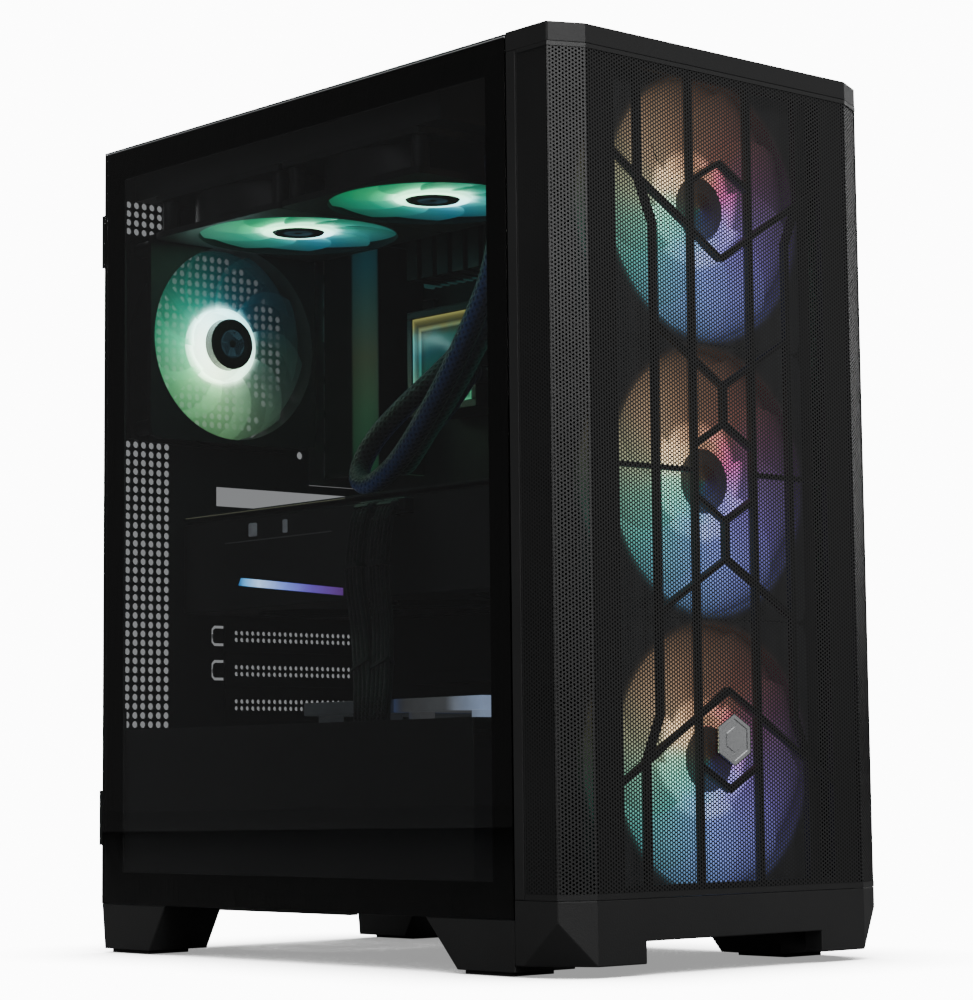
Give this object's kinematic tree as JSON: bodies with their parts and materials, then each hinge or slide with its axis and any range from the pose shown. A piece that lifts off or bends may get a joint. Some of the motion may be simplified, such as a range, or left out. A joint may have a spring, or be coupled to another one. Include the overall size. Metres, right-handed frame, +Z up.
{
  "type": "desktop computer tower",
  "caption": "Mid-size desktop computer tower with a tinted glass side, a perforated front over lit fans, a vented rear panel, and its boards, cooler, drives and power supply inside",
  "frame": {"origin": "centre of the footprint, on the floor", "axes": "+Z up, +Y towards the rear panel, +X away from the glass side"},
  "size_m": [0.225, 0.4022, 0.462],
  "materials": {
    "rear_panel": "satin powder coat",
    "top_panel": "satin powder coat",
    "bottom_panel": "satin powder coat",
    "front_chassis_panel": "satin powder coat",
    "motherboard_tray": "satin powder coat",
    "psu_shroud": "satin powder coat",
    "front_feet": "fine texture",
    "rear_feet": "fine texture",
    "rubber_pads": "matt",
    "front_cap": "satin",
    "front_side_strips": "satin",
    "front_base": "fine texture",
    "front_mesh": "perforated, satin",
    "front_lattice": "satin",
    "front_badge": "brushed",
    "front_fan_frames": "satin",
    "front_fan_rotor_1": "frosted",
    "front_fan_rotor_2": "frosted",
    "front_fan_rotor_3": "frosted",
    "rear_fan_frame": "satin",
    "rear_fan_rotor": "frosted",
    "top_fan_frames": "satin",
    "top_fan_rotor_1": "frosted",
    "top_fan_rotor_2": "frosted",
    "radiator": "satin",
    "coolant_hoses": "braided sleeve",
    "pump_block": "gloss",
    "motherboard": "solder mask",
    "motherboard_standoffs": "turned",
    "io_cover": "brushed",
    "io_ports": "stamped",
    "heatsinks": "anodised",
    "ram_modules": "anodised",
    "gpu_shroud": "satin",
    "gpu_backplate": "anodised",
    "gpu_board": "solder mask",
    "gpu_heatsink": "bare fins",
    "gpu_bracket": "stamped",
    "gpu_light_bar": "frosted",
    "gpu_fan_rotor_1": "satin",
    "gpu_fan_rotor_2": "satin",
    "gpu_fan_rotor_3": "satin",
    "slot_covers": "satin powder coat",
    "slot_screws": "plated",
    "psu_case": "satin powder coat",
    "psu_fan_rotor": "satin",
    "psu_inlet": "plain",
    "psu_switch": "gloss",
    "solid_state_drives": "satin",
    "power_cables": "sleeved",
    "io_module": "satin",
    "power_button": "satin",
    "reset_button": "satin",
    "top_dust_filter": "fine net",
    "psu_dust_filter": "fine net",
    "glass_sheet": "tinted",
    "glass_frame": "satin powder coat",
    "glass_panel_screws": "knurled",
    "right_side_panel": "satin powder coat",
    "right_panel_screws": "knurled"
  },
  "bodies": {
    "chassis": {"rear_panel": "rear_panel", "top_panel": "top_panel", "bottom_panel": "bottom_panel", "front_chassis_panel": "front_chassis_panel", "motherboard_tray": "motherboard_tray", "psu_shroud": "psu_shroud", "front_feet": "front_feet", "rear_feet": "rear_feet", "rubber_pads": "rubber_pads", "front_fan_frames": "front_fan_frames", "rear_fan_frame": "rear_fan_frame", "top_fan_frames": "top_fan_frames", "radiator": "radiator", "coolant_hoses": "coolant_hoses", "pump_block": "pump_block", "motherboard": "motherboard", "motherboard_standoffs": "motherboard_standoffs", "io_cover": "io_cover", "io_ports": "io_ports", "heatsinks": "heatsinks", "ram_modules": "ram_modules", "gpu_shroud": "gpu_shroud", "gpu_backplate": "gpu_backplate", "gpu_board": "gpu_board", "gpu_heatsink": "gpu_heatsink", "gpu_bracket": "gpu_bracket", "gpu_light_bar": "gpu_light_bar", "slot_covers": "slot_covers", "slot_screws": "slot_screws", "psu_case": "psu_case", "psu_inlet": "psu_inlet", "solid_state_drives": "solid_state_drives", "power_cables": "power_cables", "io_module": "io_module"},
    "front_panel": {"front_cap": "front_cap", "front_side_strips": "front_side_strips", "front_base": "front_base", "front_mesh": "front_mesh", "front_lattice": "front_lattice", "front_badge": "front_badge"},
    "front_rotor_1": {"front_fan_rotor_1": "front_fan_rotor_1"},
    "front_rotor_2": {"front_fan_rotor_2": "front_fan_rotor_2"},
    "front_rotor_3": {"front_fan_rotor_3": "front_fan_rotor_3"},
    "rear_rotor": {"rear_fan_rotor": "rear_fan_rotor"},
    "top_rotor_1": {"top_fan_rotor_1": "top_fan_rotor_1"},
    "top_rotor_2": {"top_fan_rotor_2": "top_fan_rotor_2"},
    "gpu_rotor_1": {"gpu_fan_rotor_1": "gpu_fan_rotor_1"},
    "gpu_rotor_2": {"gpu_fan_rotor_2": "gpu_fan_rotor_2"},
    "gpu_rotor_3": {"gpu_fan_rotor_3": "gpu_fan_rotor_3"},
    "psu_rotor": {"psu_fan_rotor": "psu_fan_rotor"},
    "mains_switch": {"psu_switch": "psu_switch"},
    "power_key": {"power_button": "power_button"},
    "reset_key": {"reset_button": "reset_button"},
    "top_filter": {"top_dust_filter": "top_dust_filter"},
    "psu_filter": {"psu_dust_filter": "psu_dust_filter"},
    "glass_panel": {"glass_sheet": "glass_sheet", "glass_frame": "glass_frame", "glass_panel_screws": "glass_panel_screws"},
    "right_panel": {"right_side_panel": "right_side_panel", "right_panel_screws": "right_panel_screws"}
  },
  "joints": [
    {"name": "front_fan_1_spin", "type": "hinge", "parent": "chassis", "child": "front_rotor_1", "pos_m": [0, -0.174, 0.1032], "axis": [0, 1, 0], "continuous": true},
    {"name": "front_fan_2_spin", "type": "hinge", "parent": "chassis", "child": "front_rotor_2", "pos_m": [0, -0.174, 0.2435], "axis": [0, 1, 0], "continuous": true},
    {"name": "front_fan_3_spin", "type": "hinge", "parent": "chassis", "child": "front_rotor_3", "pos_m": [0, -0.174, 0.3838], "axis": [0, 1, 0], "continuous": true},
    {"name": "rear_fan_spin", "type": "hinge", "parent": "chassis", "child": "rear_rotor", "pos_m": [-0.036, 0.178, 0.353], "axis": [0, 1, 0], "continuous": true},
    {"name": "top_fan_1_spin", "type": "hinge", "parent": "chassis", "child": "top_rotor_1", "pos_m": [-0.036, -0.01615, 0.42], "axis": [0, 0, 1], "continuous": true},
    {"name": "top_fan_2_spin", "type": "hinge", "parent": "chassis", "child": "top_rotor_2", "pos_m": [-0.036, 0.10415, 0.42], "axis": [0, 0, 1], "continuous": true},
    {"name": "gpu_fan_1_spin", "type": "hinge", "parent": "chassis", "child": "gpu_rotor_1", "pos_m": [0.009, -0.054, 0.201], "axis": [0, 0, 1], "continuous": true},
    {"name": "gpu_fan_2_spin", "type": "hinge", "parent": "chassis", "child": "gpu_rotor_2", "pos_m": [0.009, 0.039, 0.201], "axis": [0, 0, 1], "continuous": true},
    {"name": "gpu_fan_3_spin", "type": "hinge", "parent": "chassis", "child": "gpu_rotor_3", "pos_m": [0.009, 0.132, 0.201], "axis": [0, 0, 1], "continuous": true},
    {"name": "psu_fan_spin", "type": "hinge", "parent": "chassis", "child": "psu_rotor", "pos_m": [0.015, 0.121, 0.042], "axis": [0, 0, 1], "continuous": true},
    {"name": "mains_switch_rock", "type": "hinge", "parent": "chassis", "child": "mains_switch", "pos_m": [0.08, 0.1895, 0.0535], "axis": [1, 0, 0], "range_deg": [0, 16]},
    {"name": "power_button_press", "type": "slide", "parent": "chassis", "child": "power_key", "axis": [0, 0, -1], "range_m": [0, 0.0015], "stiffness_N_per_m": 400},
    {"name": "reset_button_press", "type": "slide", "parent": "chassis", "child": "reset_key", "axis": [0, 0, -1], "range_m": [0, 0.0015], "stiffness_N_per_m": 400},
    {"name": "top_filter_lift", "type": "slide", "parent": "chassis", "child": "top_filter", "axis": [0, 0, 1], "range_m": [0, 0.03]},
    {"name": "psu_filter_slide", "type": "slide", "parent": "chassis", "child": "psu_filter", "axis": [0, 1, 0], "range_m": [0, 0.17]},
    {"name": "front_panel_pull", "type": "slide", "parent": "chassis", "child": "front_panel", "axis": [0, -1, 0], "range_m": [0, 0.06]},
    {"name": "glass_panel_slide", "type": "slide", "parent": "chassis", "child": "glass_panel", "axis": [0, 1, 0], "range_m": [0, 0.4]},
    {"name": "right_panel_slide", "type": "slide", "parent": "chassis", "child": "right_panel", "axis": [0, 1, 0], "range_m": [0, 0.4]}
  ]
}
